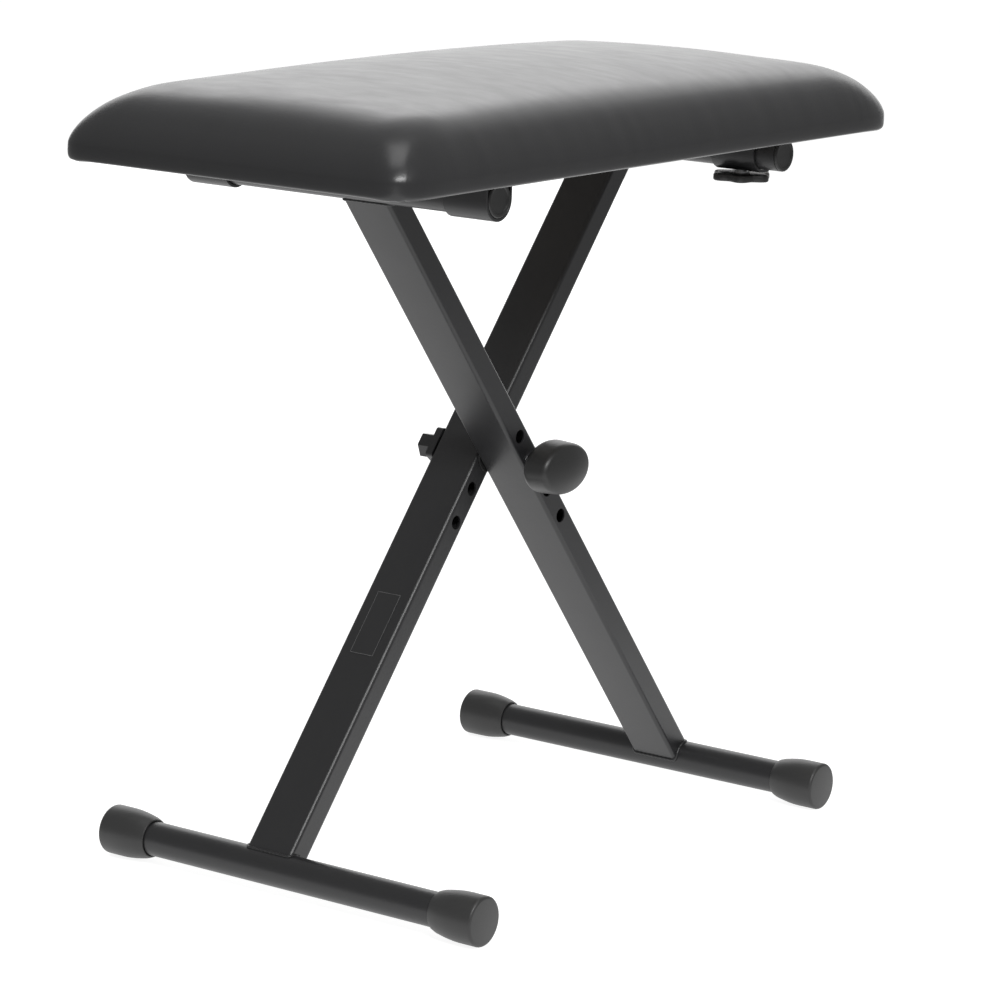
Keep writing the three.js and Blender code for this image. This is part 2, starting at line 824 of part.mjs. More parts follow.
const screwHeight = boardBottom - fit - strapThick - fit;
strapScrews.forEach(([x, y], i) => {
  add(`strap_screw_${i + 1}`, seatScrew(), 'zinc', [x, y, screwHeight]);
});
catchScrews.forEach(([x, y], i) => {
  add(`catch_screw_${i + 1}`, seatScrew(), 'zinc', [x, y, screwHeight]);
});

// The lock under the second tee tube
const lockPlace = [catchCentre, teeY, teeHeight];
add('lock_stud', lockStud(), 'zinc', lockPlace);
add('star_knob', starKnob(), 'plastic', lockPlace);
add('star_insert', starInsert(), 'zinc', lockPlace);

// The seat
add('seat_board', seatBoard([...strapScrews, ...catchScrews]), 'plywood');
add('seat_foam', seatFoam(), 'foam');
add('seat_cover', seatCover(), 'vinyl');

export default bench;
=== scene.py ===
"""Looks of the folding bench: powder-coated crossed legs, rubber feet, a padded vinyl seat.

Metres, +Z up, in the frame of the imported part. X runs along the foot tubes, Y along the seat.
Forms are worked out in millimetres and scaled to metres as their meshes are finished.
"""

import math
import random

import bmesh
import bpy
from mathutils import Matrix, Vector, noise


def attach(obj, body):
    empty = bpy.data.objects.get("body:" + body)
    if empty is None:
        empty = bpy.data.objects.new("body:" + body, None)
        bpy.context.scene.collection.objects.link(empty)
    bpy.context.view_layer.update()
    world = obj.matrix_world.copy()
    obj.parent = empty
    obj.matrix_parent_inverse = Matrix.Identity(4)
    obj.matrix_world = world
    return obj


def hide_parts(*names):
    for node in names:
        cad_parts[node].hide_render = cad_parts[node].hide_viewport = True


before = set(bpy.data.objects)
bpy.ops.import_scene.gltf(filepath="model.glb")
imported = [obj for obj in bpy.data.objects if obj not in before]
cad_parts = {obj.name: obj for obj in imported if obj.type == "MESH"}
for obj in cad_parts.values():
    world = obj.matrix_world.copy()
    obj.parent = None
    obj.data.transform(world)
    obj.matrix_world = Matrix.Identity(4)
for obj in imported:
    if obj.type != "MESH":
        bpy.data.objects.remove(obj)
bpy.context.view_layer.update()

MM = 0.001

# The bench, as its source gives it
SEAT_LENGTH = 626
SEAT_WIDTH = 302
SEAT_THICKNESS = 60.5
SEAT_UNDERSIDE = 518
SEAT_CORNER = 14
SEAT_EDGE = 11.5
SEAT_CROWN = 12.5
SEAT_DRAW_IN = 2.5
SIDE_ROLL = 48
END_ROLL = 77
ROLL_POWER = 3
COVER_THICK = 1
COVER_HEM = 15
BOARD_INSET = 3.4
LEG_LEAN = math.radians(39.5)
LEG_WIDE = 40
LEG_THIN = 20
LEG_CORNER = 3
LEG_CENTRE = 20.8
TUBE_RADIUS = 12.5
FOOT_Y = 221.5
FOOT_HEIGHT = 17.9445
PIVOT_HEIGHT = 286.646
TEE_Y = 181.234
LOWER_LEG = FOOT_Y / math.sin(LEG_LEAN)
UPPER_LEG = TEE_Y / math.sin(LEG_LEAN)

# Meshes: what counts as one point, as one flat and as a sharp edge
JOIN_DISTANCE = 0.02
FLAT_ANGLE = math.radians(0.6)
SHARP_ANGLE = 32
KNOB_SHARP_ANGLE = 40
FOAM_SHARP_ANGLE = 60
NO_SHARP_ANGLE = 180

# The pivot knob: an oval head on a round hub, by its places along the bolt
KNOB_WIDTH = 60
KNOB_HEIGHT = 39
KNOB_HUB_FROM = 43
KNOB_FROM = 50
KNOB_TO = 75
KNOB_HUB_RADIUS = 11
KNOB_HUB_EDGE = 0.8
KNOB_BORE = 5.3
KNOB_BORE_END = 63.4
KNOB_BACK = 6
KNOB_BACK_SHARE = 0.76
KNOB_RIM = 5
KNOB_RIM_TURN = math.radians(76)
KNOB_DOME = 3
KNOB_TAPER = 1
KNOB_SIDES = 72
KNOB_ARC_STEPS = 8
KNOB_DOME_STEPS = 9

# The weld beads: section, offsets from tube and leg, and their ripple
WELD_RADIUS = 1.15
WELD_LIFT = 0.3
WELD_MARGIN = 0.2
WELD_STEP = 0.8
WELD_RIPPLE = 0.13
WELD_RIPPLE_TURN = 1.3
WELD_WANDER = 0.22
WELD_WANDER_PACE = 0.11
QUARTER_STEPS = 4

# The seat's corners in plan: an exponent at the edge and one inside, and where they part
CORNER_SQUARE = 5.0
CORNER_SOFT = 2.3
CORNER_FROM = 0.4
CORNER_BLEND = 1.5

# The cover: its grid, the rings of its wall and hem as inset and height, folds and puckers
COLUMNS = 52
ROWS = 92
HEM_RINGS = [
    (0.0, 8.0), (0.0, 4.0), (0.55, 1.6), (1.7, 0.5), (4.0, 0.0), (9.0, 0.0), (COVER_HEM, 0.0),
]
SAME_PLACE = 0.01
FOLD_DEPTH = 1.1
FOLD_TURNS = 6
FOLD_FROM = 1
FOLD_FULL = 4
PUCKER_DEPTH = 0.55
PUCKER_FROM = 0.35
PUCKER_WAVES = [(1.0, 0.085, 3), (0.5, 0.21, 5)]

# The cloth solver's press from inside: how slack the cover is sewn and how far it may swell
CLOTH = {
    "quality": 6,
    "mass": 0.4,
    "tension_stiffness": 30,
    "compression_stiffness": 30,
    "shear_stiffness": 12,
    "bending_stiffness": 4,
    "use_pressure": True,
    "uniform_pressure_force": 4,
    "vertex_group_mass": "held",
}
PRESS_FRAMES = 20
COVER_SLACK = 1.2
COVER_SLACK_RISE = 20
COVER_SWELL = 2.4
HELD_MARGIN = 1
EVENING_TURNS = 14

# Foam and board under the cover
FOAM_INSET = 3.2
FOAM_FROM = 9.9
BOARD_CORNER = 22
BOARD_SIDE_SLACK = 0.05
BOARD_ARC_SLACK = 0.3

# The staples in the hem
STAPLE_SIZE = (10.0, 1.1, 0.5)
STAPLE_EDGE = 0.18
STAPLE_PLACE = 0.62
STAPLE_SINK = 0.2
STAPLE_END = 22
STAPLES_ALONG = 20
STAPLES_ACROSS = 9
STAPLE_TILT = 9
STAPLE_STRAY = 0.8
STAPLE_SEED = 7

# The blank label on leg b
LABEL_SIZE = (21.5, 52.0)
LABEL_THICK = 0.16
LABEL_MARGIN = 0.9
LABEL_FRAME = 0.35
LABEL_GAP = 0.02
LABEL_ALONG = -153.0

# Relief of the finishes: grains in a metre, shares of height, stretch of the streaks
SWELLS = 420.0
PEBBLES = 1500.0
PEBBLE_SHARE = 0.35
CELLS = 1000.0
CELL_SHARE = -0.9
SKIN_SHARE = 0.5
STREAK_STRETCH = (34.0, 80.0, 60.0)
WOOD_STRETCH = (70.0, 5.0, 70.0)
COAT_SPREAD = 0.08
COAT_BUMP = 0.5

# Colours of the finishes
COAT_BLACK = (0.016, 0.016, 0.017)
RUBBER_BLACK = (0.024, 0.024, 0.024)
PLASTIC_BLACK = (0.014, 0.014, 0.014)
VINYL_BLACK = (0.019, 0.019, 0.020)
FILM_BLACK = (0.017, 0.017, 0.018)
FRAME_GREY = (0.16, 0.16, 0.16)
ZINC_GREY = (0.60, 0.61, 0.62)
WOOD_DARK = (0.18, 0.168, 0.155)
WOOD_PALE = (0.33, 0.31, 0.285)
FOAM_CREAM = (0.62, 0.56, 0.36)
COAT_DUST = (0.16, 0.16, 0.155)
VINYL_DUST = (0.12, 0.12, 0.12)

# The camera's place, fitted to the photograph, in degrees, millimetres and shares of the image
CAMERA_AZIMUTH = 35.26
CAMERA_ELEVATION = 12.03
CAMERA_ROLL = 1.82
CAMERA_DISTANCE = 2974.23
CAMERA_FOCUS = 4.02352
CAMERA_CENTRE = (0.50378, 0.49991)
CAMERA_REACH = 100.0
TARGET_HEIGHT = 200 + FOOT_HEIGHT
TARGET_SHIFT = (12.29, 34.96)
SENSOR = 36.0

# The studio, in metres and watts: a pale floor with a brighter lane, soft boxes, grey air
FLOOR_HALF = 30.0
FLOOR_GREY = (0.44, 0.44, 0.44)
FLOOR_GLOW = 0.12
LANE_GLOW = 0.88
LANE_HALF = 0.42
LANE_SPREAD = 0.135
LANE_FADE = 1.6
AIR_GREY = (0.33, 0.33, 0.33)
BENCH_MIDDLE = 0.3
SOFT_BOXES = [
    # name, azimuth, elevation, distance, width, height, power
    ("back_box", 213.0, 14.0, 3.6, 5.0, 2.6, 51.0),
    ("high_box", 208.0, 33.0, 3.4, 2.8, 0.85, 11.0),
    ("key_box", 54.0, 40.0, 2.8, 1.5, 0.42, 46.0),
    ("top_box", 35.0, 88.0, 3.6, 2.0, 2.0, 30.0),
]


# Shader building

def named_group(name, inputs, outputs):
    """A node group with named float inputs and outputs, and its two end nodes."""
    group = bpy.data.node_groups.new(name, "ShaderNodeTree")
    for label, value in inputs:
        socket = group.interface.new_socket(label, in_out="INPUT", socket_type="NodeSocketFloat")
        socket.default_value = value
    for label in outputs:
        group.interface.new_socket(label, in_out="OUTPUT", socket_type="NodeSocketFloat")
    return group, group.nodes.new("NodeGroupInput"), group.nodes.new("NodeGroupOutput")


def put(tree, kind, **values):
    """Adds a node and sets its plain properties and, by socket name, its inputs."""
    node = tree.nodes.new(kind)
    for key, value in values.items():
        if hasattr(node, key):
            setattr(node, key, value)
        else:
            node.inputs[key.replace("_", " ")].default_value = value
    return node


def math_node(tree, operation, first, second, clamp=False):
    """A Math node on two sockets or numbers."""
    node = tree.nodes.new("ShaderNodeMath")
    node.operation = operation
    node.use_clamp = clamp
    for socket, value in zip(node.inputs, (first, second)):
        if isinstance(value, (int, float)):
            socket.default_value = value
        else:
            tree.links.new(value, socket)
    return node.outputs[0]


def spread_about(tree, value, spread, middle):
    """A value between 0 and 1 spread about a middle: what varies the roughness."""
    lean = math_node(tree, "SUBTRACT", value, 0.5)
    lean = math_node(tree, "MULTIPLY", lean, spread)
    return math_node(tree, "ADD", lean, middle)


def orange_peel_group():
    """Sprayed powder: low swells, a fine pebble on them, and roughness that varies slowly."""
    group, given, made = named_group(
        "orange_peel",
        [("Size", 1.0), ("Swell", 0.6), ("Roughness", 0.4), ("Spread", 0.06)],
        ["Height", "Roughness"],
    )
    link = group.links.new
    place = put(group, "ShaderNodeTexCoord").outputs["Object"]
    swell = put(group, "ShaderNodeTexNoise", Detail=2.0, Roughness=0.4)
    pebble = put(group, "ShaderNodeTexNoise", Detail=1.0, Roughness=0.5)
    cloud = put(group, "ShaderNodeTexNoise", Scale=24.0, Detail=3.0)
    for texture in (swell, pebble, cloud):
        link(place, texture.inputs["Vector"])
    link(math_node(group, "DIVIDE", SWELLS, given.outputs["Size"]), swell.inputs["Scale"])
    link(math_node(group, "DIVIDE", PEBBLES, given.outputs["Size"]), pebble.inputs["Scale"])
    low = math_node(group, "MULTIPLY", swell.outputs["Fac"], given.outputs["Swell"])
    fine = math_node(group, "MULTIPLY", pebble.outputs["Fac"], PEBBLE_SHARE)
    link(math_node(group, "ADD", low, fine), made.inputs["Height"])
    rough = spread_about(
        group, cloud.outputs["Fac"], given.outputs["Spread"], given.outputs["Roughness"]
    )
    link(rough, made.inputs["Roughness"])
    return group


def dust_group():
    """Faint settled dust: a mask that grows on faces that look up, broken by clouds."""
    group, given, made = named_group("settled_dust", [("Amount", 0.1), ("Size", 30.0)], ["Mask"])
    link = group.links.new
    place = put(group, "ShaderNodeTexCoord").outputs["Object"]
    normal = put(group, "ShaderNodeNewGeometry").outputs["Normal"]
    split = put(group, "ShaderNodeSeparateXYZ")
    link(normal, split.inputs[0])
    cloud = put(group, "ShaderNodeTexNoise", Detail=5.0, Roughness=0.65)
    link(place, cloud.inputs["Vector"])
    link(given.outputs["Size"], cloud.inputs["Scale"])
    up = math_node(group, "MAXIMUM", split.outputs["Z"], 0.0)
    broken = math_node(group, "MULTIPLY", up, cloud.outputs["Fac"])
    mask = math_node(group, "MULTIPLY", broken, given.outputs["Amount"], clamp=True)
    link(mask, made.inputs["Mask"])
    return group


def leather_grain_group():
    """Embossed vinyl: small cells with soft valleys, a fine skin and slow streaks."""
    group, given, made = named_group(
        "leather_grain",
        [("Cell", 1.3), ("Streak", 0.3), ("Roughness", 0.4), ("Spread", 0.1)],
        ["Height", "Roughness"],
    )
    link = group.links.new
    place = put(group, "ShaderNodeTexCoord").outputs["Object"]
    cells = put(
        group, "ShaderNodeTexVoronoi", feature="SMOOTH_F1", Smoothness=0.6, Randomness=0.95
    )
    link(place, cells.inputs["Vector"])
    link(math_node(group, "DIVIDE", CELLS, given.outputs["Cell"]), cells.inputs["Scale"])
    skin = put(group, "ShaderNodeTexNoise", Scale=260.0, Detail=3.0, Roughness=0.55)
    link(place, skin.inputs["Vector"])
    drawn = put(group, "ShaderNodeMapping")
    drawn.inputs["Scale"].default_value = STREAK_STRETCH
    link(place, drawn.inputs["Vector"])
    streak = put(group, "ShaderNodeTexNoise", Scale=1.0, Detail=4.0, Roughness=0.6)
    link(drawn.outputs[0], streak.inputs["Vector"])
    hill = math_node(group, "MULTIPLY", cells.outputs["Distance"], CELL_SHARE)
    fine = math_node(group, "MULTIPLY", skin.outputs["Fac"], SKIN_SHARE)
    hill = math_node(group, "ADD", hill, fine)
    pull = math_node(group, "MULTIPLY", streak.outputs["Fac"], given.outputs["Streak"])
    link(math_node(group, "ADD", hill, pull), made.inputs["Height"])
    rough = spread_about(
        group, streak.outputs["Fac"], given.outputs["Spread"], given.outputs["Roughness"]
    )
    link(rough, made.inputs["Roughness"])
    return group


ORANGE_PEEL = orange_peel_group()
SETTLED_DUST = dust_group()
LEATHER_GRAIN = leather_grain_group()


def new_finish(name, colour, roughness, metallic=0.0):
    """A material with a Principled shader whose plain values are set on its own sockets."""
    material = bpy.data.materials.new(name)
    material.use_nodes = True
    shader = material.node_tree.nodes["Principled BSDF"]
    shader.inputs["Base Color"].default_value = (*colour, 1.0)
    shader.inputs["Roughness"].default_value = roughness
    shader.inputs["Metallic"].default_value = metallic
    return material, material.node_tree, shader


def place_group(tree, group, **values):
    """Places a node group in a material with its own values."""
    node = tree.nodes.new("ShaderNodeGroup")
    node.node_tree = group
    for key, value in values.items():
        node.inputs[key].default_value = value
    return node


def raise_surface(tree, shader, height, strength, distance):
    """Feeds a height into the shader's normal. distance is in metres."""
    bump = put(tree, "ShaderNodeBump", Strength=strength, Distance=distance)
    tree.links.new(height, bump.inputs["Height"])
    tree.links.new(bump.outputs["Normal"], shader.inputs["Normal"])


def dusted(tree, shader, colour, dust_colour, amount, size):
    """Base colour that goes towards dust where dust settles."""
    dust = place_group(tree, SETTLED_DUST, Amount=amount, Size=size)
    blend = tree.nodes.new("ShaderNodeMix")
    blend.data_type = "RGBA"
    blend.inputs["A"].default_value = (*colour, 1.0)
    blend.inputs["B"].default_value = (*dust_colour, 1.0)
    tree.links.new(dust.outputs["Mask"], blend.inputs["Factor"])
    tree.links.new(blend.outputs["Result"], shader.inputs["Base Color"])


def coated_finish(name, colour, roughness, size, swell, depth, dust=0.05):
    """Satin coat: orange peel, clouded roughness and a trace of dust."""
    material, tree, shader = new_finish(name, colour, roughness)
    peel = place_group(
        tree, ORANGE_PEEL, Size=size, Swell=swell, Roughness=roughness, Spread=COAT_SPREAD
    )
    tree.links.new(peel.outputs["Roughness"], shader.inputs["Roughness"])
    raise_surface(tree, shader, peel.outputs["Height"], COAT_BUMP, depth)
    dusted(tree, shader, colour, COAT_DUST, dust, size=34.0)
    return material


def vinyl_finish():
    """Black upholstery vinyl with a fine embossed grain."""
    material, tree, shader = new_finish("black_vinyl", VINYL_BLACK, 0.4)
    grain = place_group(tree, LEATHER_GRAIN, Cell=1.15, Streak=0.14, Roughness=0.32, Spread=0.13)
    tree.links.new(grain.outputs["Roughness"], shader.inputs["Roughness"])
    raise_surface(tree, shader, grain.outputs["Height"], strength=0.24, distance=0.00012)
    dusted(tree, shader, VINYL_BLACK, VINYL_DUST, amount=0.05, size=22.0)
    return material


def zinc_finish():
    """Zinc-plated steel: bright and a little cloudy."""
    material, tree, shader = new_finish("zinc_steel", ZINC_GREY, 0.3, metallic=1.0)
    peel = place_group(tree, ORANGE_PEEL, Size=0.5, Swell=0.3, Roughness=0.3, Spread=0.2)
    tree.links.new(peel.outputs["Roughness"], shader.inputs["Roughness"])
    raise_surface(tree, shader, peel.outputs["Height"], strength=0.2, distance=0.00003)
    return material


def board_finish():
    """Plywood gone grey: long pale grain over darker pores."""
    material, tree, shader = new_finish("plywood", WOOD_DARK, 0.7)
    place = put(tree, "ShaderNodeTexCoord").outputs["Object"]
    along = put(tree, "ShaderNodeMapping")
    along.inputs["Scale"].default_value = WOOD_STRETCH
    tree.links.new(place, along.inputs["Vector"])
    grain = put(tree, "ShaderNodeTexNoise", Scale=1.0, Detail=6.0, Roughness=0.7)
    tree.links.new(along.outputs[0], grain.inputs["Vector"])
    ramp = tree.nodes.new("ShaderNodeValToRGB")
    ends = zip(ramp.color_ramp.elements, (0.3, 0.75), (WOOD_DARK, WOOD_PALE))
    for element, position, colour in ends:
        element.position = position
        element.color = (*colour, 1.0)
    tree.links.new(grain.outputs["Fac"], ramp.inputs["Fac"])
    tree.links.new(ramp.outputs["Color"], shader.inputs["Base Color"])
    raise_surface(tree, shader, grain.outputs["Fac"], strength=0.4, distance=0.0002)
    return material


def foam_finish():
    """Open-cell foam."""
    material, tree, shader = new_finish("seat_foam", FOAM_CREAM, 0.95)
    place = put(tree, "ShaderNodeTexCoord").outputs["Object"]
    pores = put(tree, "ShaderNodeTexVoronoi", Scale=700.0)
    tree.links.new(place, pores.inputs["Vector"])
    raise_surface(tree, shader, pores.outputs["Distance"], strength=0.6, distance=0.0006)
    return material


def floor_finish():
    """Plain pale floor with a brighter lane under and behind the bench, wider further off."""
    material, tree, shader = new_finish("pale_floor", FLOOR_GREY, 0.9)
    shader.inputs["Specular IOR Level"].default_value = 0.0
    shader.inputs["Emission Color"].default_value = (1.0, 1.0, 1.0, 1.0)
    place = put(tree, "ShaderNodeTexCoord").outputs["Object"]
    turned = put(tree, "ShaderNodeMapping")
    turned.inputs["Rotation"].default_value = (0.0, 0.0, math.radians(-CAMERA_AZIMUTH))
    tree.links.new(place, turned.inputs["Vector"])
    split = put(tree, "ShaderNodeSeparateXYZ")
    tree.links.new(turned.outputs[0], split.inputs[0])
    half = math_node(tree, "MULTIPLY", split.outputs["Y"], LANE_SPREAD)
    half = math_node(tree, "MAXIMUM", math_node(tree, "ADD", half, LANE_HALF), LANE_HALF)
    across = math_node(tree, "ABSOLUTE", split.outputs["X"], 0.0)
    far = put(tree, "ShaderNodeMapRange", interpolation_type="SMOOTHSTEP")
    far.inputs["From Min"].default_value = 1.0
    far.inputs["From Max"].default_value = LANE_FADE
    far.inputs["To Min"].default_value = LANE_GLOW
    far.inputs["To Max"].default_value = FLOOR_GLOW
    tree.links.new(math_node(tree, "DIVIDE", across, half), far.inputs["Value"])
    tree.links.new(far.outputs["Result"], shader.inputs["Emission Strength"])
    return material


# The finish of each material slot, and the label's two own finishes
FINISHES = {
    "coated_steel": coated_finish(
        "powder_coat", COAT_BLACK, roughness=0.36, size=1.0, swell=0.6, depth=0.00006
    ),
    "foot_rubber": coated_finish(
        "foot_rubber", RUBBER_BLACK, roughness=0.42, size=0.6, swell=0.3, depth=0.0001, dust=0.1
    ),
    "black_plastic": coated_finish(
        "black_plastic", PLASTIC_BLACK, roughness=0.4, size=0.4, swell=0.5, depth=0.00006
    ),
    "zinc_steel": zinc_finish(),
    "black_vinyl": vinyl_finish(),
    "plywood": board_finish(),
    "seat_foam": foam_finish(),
}
LABEL_FILM = coated_finish(
    "label_film", FILM_BLACK, roughness=0.28, size=2.0, swell=0.2, depth=0.00002
)
LABEL_LINE = coated_finish(
    "label_line", FRAME_GREY, roughness=0.4, size=2.0, swell=0.2, depth=0.00002
)


# Pieces that keep their solid's own form

def new_piece(name, mesh, slot, body):
    """An object at the origin with its slot's finish, riding on a body of the bench."""
    piece = bpy.data.objects.new(name, mesh)
    bpy.context.scene.collection.objects.link(piece)
    mesh.materials.append(FINISHES[slot])
    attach(piece, body)
    return piece


def mesh_from(bm, name, sharp_angle=SHARP_ANGLE):
    """A bmesh as a smooth mesh whose sharper edges stay sharp."""
    mesh = bpy.data.meshes.new(name)
    bm.to_mesh(mesh)
    bm.free()
    mesh.shade_smooth()
    mesh.set_sharp_from_angle(angle=math.radians(sharp_angle))
    return mesh


def in_metres(bm):
    """Scales a bmesh from millimetres to metres."""
    bmesh.ops.scale(bm, vec=(MM, MM, MM), verts=bm.verts)


def joined_copy(node):
    """The mesh of a CAD node with its loose triangles joined."""
    bm = bmesh.new()
    bm.from_mesh(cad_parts[node].data)
    bmesh.ops.remove_doubles(bm, verts=bm.verts, dist=JOIN_DISTANCE * MM)
    return bm


def finished_node(node, slot, body, edge):
    """A CAD node's own form with its flats made whole and its edges broken."""
    bm = joined_copy(node)
    bmesh.ops.dissolve_limit(
        bm, angle_limit=FLAT_ANGLE, verts=bm.verts, edges=bm.edges, delimit={"NORMAL"}
    )
    name = f"{node}_finished"
    piece = new_piece(name, mesh_from(bm, name), slot, body)
    bevel = piece.modifiers.new("broken_edges", "BEVEL")
    bevel.width = edge * MM
    bevel.segments = 2
    bevel.limit_method = "ANGLE"
    bevel.angle_limit = math.radians(SHARP_ANGLE)
    bevel.harden_normals = True
    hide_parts(node)


NODE_EDGES = [
    # node, slot, body, width of the broken edge
    ("leg_tube_a", "coated_steel", "leg_frame_a", 0.35),
    ("leg_tube_b", "coated_steel", "leg_frame_b", 0.35),
    ("foot_tube_a", "coated_steel", "leg_frame_a", 0.25),
    ("foot_tube_b", "coated_steel", "leg_frame_b", 0.25),
    ("tee_tube_a", "coated_steel", "leg_frame_a", 0.25),
    ("tee_tube_b", "coated_steel", "leg_frame_b", 0.25),
    ("foot_cap_a_near", "foot_rubber", "leg_frame_a", 0.5),
    ("foot_cap_a_far", "foot_rubber", "leg_frame_a", 0.5),
    ("foot_cap_b_near", "foot_rubber", "leg_frame_b", 0.5),
    ("foot_cap_b_far", "foot_rubber", "leg_frame_b", 0.5),
    ("tee_plug_a_near", "black_plastic", "leg_frame_a", 0.25),
    ("tee_plug_a_far", "black_plastic", "leg_frame_a", 0.25),
    ("tee_plug_b_near", "black_plastic", "leg_frame_b", 0.25),
    ("tee_plug_b_far", "black_plastic", "leg_frame_b", 0.25),
    ("pivot_bolt", "zinc_steel", "pivot_handle", 0.2),
    ("knob_washer", "zinc_steel", "bolt_washer", 0.2),
    ("leg_washer", "black_plastic", "leg_frame_a", 0.1),
    ("nut_plate", "coated_steel", "leg_frame_b", 0.6),
    ("pivot_nut", "coated_steel", "leg_frame_b", 0.5),
    ("saddle_strap_1", "coated_steel", "seat", 0.3),
    ("saddle_strap_2", "coated_steel", "seat", 0.3),
    ("tee_catch_1", "coated_steel", "seat", 0.3),
    ("tee_catch_2", "coated_steel", "seat", 0.3),
    ("lock_stud", "zinc_steel", "leg_frame_b", 0.2),
    ("star_knob", "black_plastic", "lock_handle", 0.3),
    ("star_insert", "zinc_steel", "lock_handle", 0.2),
]
NODE_EDGES += [(f"strap_screw_{i}", "zinc_steel", "seat", 0.25) for i in range(1, 9)]
NODE_EDGES += [(f"catch_screw_{i}", "zinc_steel", "seat", 0.25) for i in range(1, 5)]


# Knob

def knob_rows():
    """The knob's half-section: place along the bolt, half-width along Y, half-height along Z."""
    outer = KNOB_WIDTH / 2
    rows = [(KNOB_BORE_END, KNOB_BORE, KNOB_BORE), (KNOB_HUB_FROM, KNOB_BORE, KNOB_BORE)]
    hub_face = KNOB_HUB_RADIUS - KNOB_HUB_EDGE
    rows.append((KNOB_HUB_FROM, hub_face, hub_face))
    rows.append((KNOB_HUB_FROM + KNOB_HUB_EDGE, KNOB_HUB_RADIUS, KNOB_HUB_RADIUS))
    rows.append((KNOB_FROM, KNOB_HUB_RADIUS, KNOB_HUB_RADIUS))
    section = []
    for i in range(KNOB_ARC_STEPS + 1):
        angle = i / KNOB_ARC_STEPS * math.pi / 2
        spread = KNOB_BACK_SHARE + (1 - KNOB_BACK_SHARE) * math.sin(angle)
        section.append((KNOB_FROM + KNOB_BACK * (1 - math.cos(angle)), outer * spread))
    barrel = KNOB_TO - KNOB_DOME - KNOB_RIM
    for i in range(KNOB_ARC_STEPS + 1):
        angle = i / KNOB_ARC_STEPS * KNOB_RIM_TURN
        spread = outer - KNOB_TAPER - KNOB_RIM * (1 - math.cos(angle))
        section.append((barrel + KNOB_RIM * math.sin(angle), spread))
    edge_x, edge = section[-1]
    for i in range(1, KNOB_DOME_STEPS):
        share = 1 - i / KNOB_DOME_STEPS
        section.append((edge_x + (KNOB_TO - edge_x) * (1 - share ** 2), edge * share))
    flat = KNOB_HEIGHT / KNOB_WIDTH
    return rows + [(x, radius, radius * flat) for x, radius in section]


def turned_knob():
    """The oval knob, turned about the bolt and pressed flat, with a tighter rim than the CAD's."""
    bm = bmesh.new()
    rings = []
    for x, wide, high in knob_rows():
        ring = []
        for i in range(KNOB_SIDES):
            angle = i / KNOB_SIDES * math.tau
            y, z = wide * math.cos(angle), PIVOT_HEIGHT + high * math.sin(angle)
            ring.append(bm.verts.new((x, y, z)))
        rings.append(ring)
    for ring, after in zip(rings, rings[1:]):
        for i in range(KNOB_SIDES):
            j = (i + 1) % KNOB_SIDES
            bm.faces.new((ring[i], ring[j], after[j], after[i]))
    for ring, x in ((rings[0], KNOB_BORE_END), (rings[-1], KNOB_TO)):
        middle = bm.verts.new((x, 0, PIVOT_HEIGHT))
        for i in range(KNOB_SIDES):
            bm.faces.new((ring[i], ring[(i + 1) % KNOB_SIDES], middle))
    bmesh.ops.recalc_face_normals(bm, faces=bm.faces)
    in_metres(bm)
    mesh = mesh_from(bm, "pivot_knob_turned", KNOB_SHARP_ANGLE)
    piece = new_piece("pivot_knob_turned", mesh, "black_plastic", "pivot_handle")
    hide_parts("pivot_knob")


# Welds

def rounded_outline(half_x, half_y, corner, step):
    """Points round a rounded rectangle, a step apart."""
    points = []
    for quarter, (sx, sy) in enumerate([(1, 1), (-1, 1), (-1, -1), (1, -1)]):
        centre = Vector((sx * (half_x - corner), sy * (half_y - corner)))
        for i in range(QUARTER_STEPS + 1):
            angle = (quarter + i / QUARTER_STEPS) * math.pi / 2
            points.append(centre + Vector((math.cos(angle), math.sin(angle))) * corner)
    dense = []
    for i, start in enumerate(points):
        end = points[(i + 1) % len(points)]
        count = max(1, round((end - start).length / step))
        dense += [start.lerp(end, k / count) for k in range(count)]
    return dense


def weld_bead(name, side, end, body):
    """A bead round the coped end of a leg, on its round tube. side is 1 for leg a."""
    radius = TUBE_RADIUS + WELD_LIFT
    reach = -LOWER_LEG if end == "foot" else UPPER_LEG
    turn = Matrix.Rotation(side * LEG_LEAN, 3, "X")
    outline = rounded_outline(
        LEG_WIDE / 2 + WELD_MARGIN, LEG_THIN / 2 + WELD_MARGIN, LEG_CORNER, WELD_STEP
    )
    curve = bpy.data.curves.new(name, "CURVE")
    curve.dimensions = "3D"
    curve.bevel_depth = WELD_RADIUS * MM
    curve.bevel_resolution = 2
    spline = curve.splines.new("POLY")
    spline.points.add(len(outline) - 1)
    spline.use_cyclic_u = True
    for i, (point, spot) in enumerate(zip(spline.points, outline)):
        drop = math.sqrt(radius ** 2 - spot.y ** 2)
        local = Vector((spot.x, spot.y, reach + (drop if end == "foot" else -drop)))
        world = turn @ local + Vector((side * LEG_CENTRE, 0, PIVOT_HEIGHT))
        point.co = (*(world * MM), 1.0)
        ripple = WELD_RIPPLE * math.sin(i * WELD_RIPPLE_TURN)
        point.radius = 1 + (ripple + WELD_WANDER * noise.noise(world * WELD_WANDER_PACE))
    maker = bpy.data.objects.new(name, curve)
    bpy.context.scene.collection.objects.link(maker)
    mesh = bpy.data.meshes.new_from_object(maker)
    bpy.data.objects.remove(maker)
    mesh.name = name
    mesh.shade_smooth()
    new_piece(name, mesh, "coated_steel", body)


# Seat

def roll_rise(share):
    """Rise of the padded roll, from 0 at the edge to 1 at its top."""
    return (1 - (1 - min(max(share, 0), 1)) ** ROLL_POWER) ** (2 / ROLL_POWER)


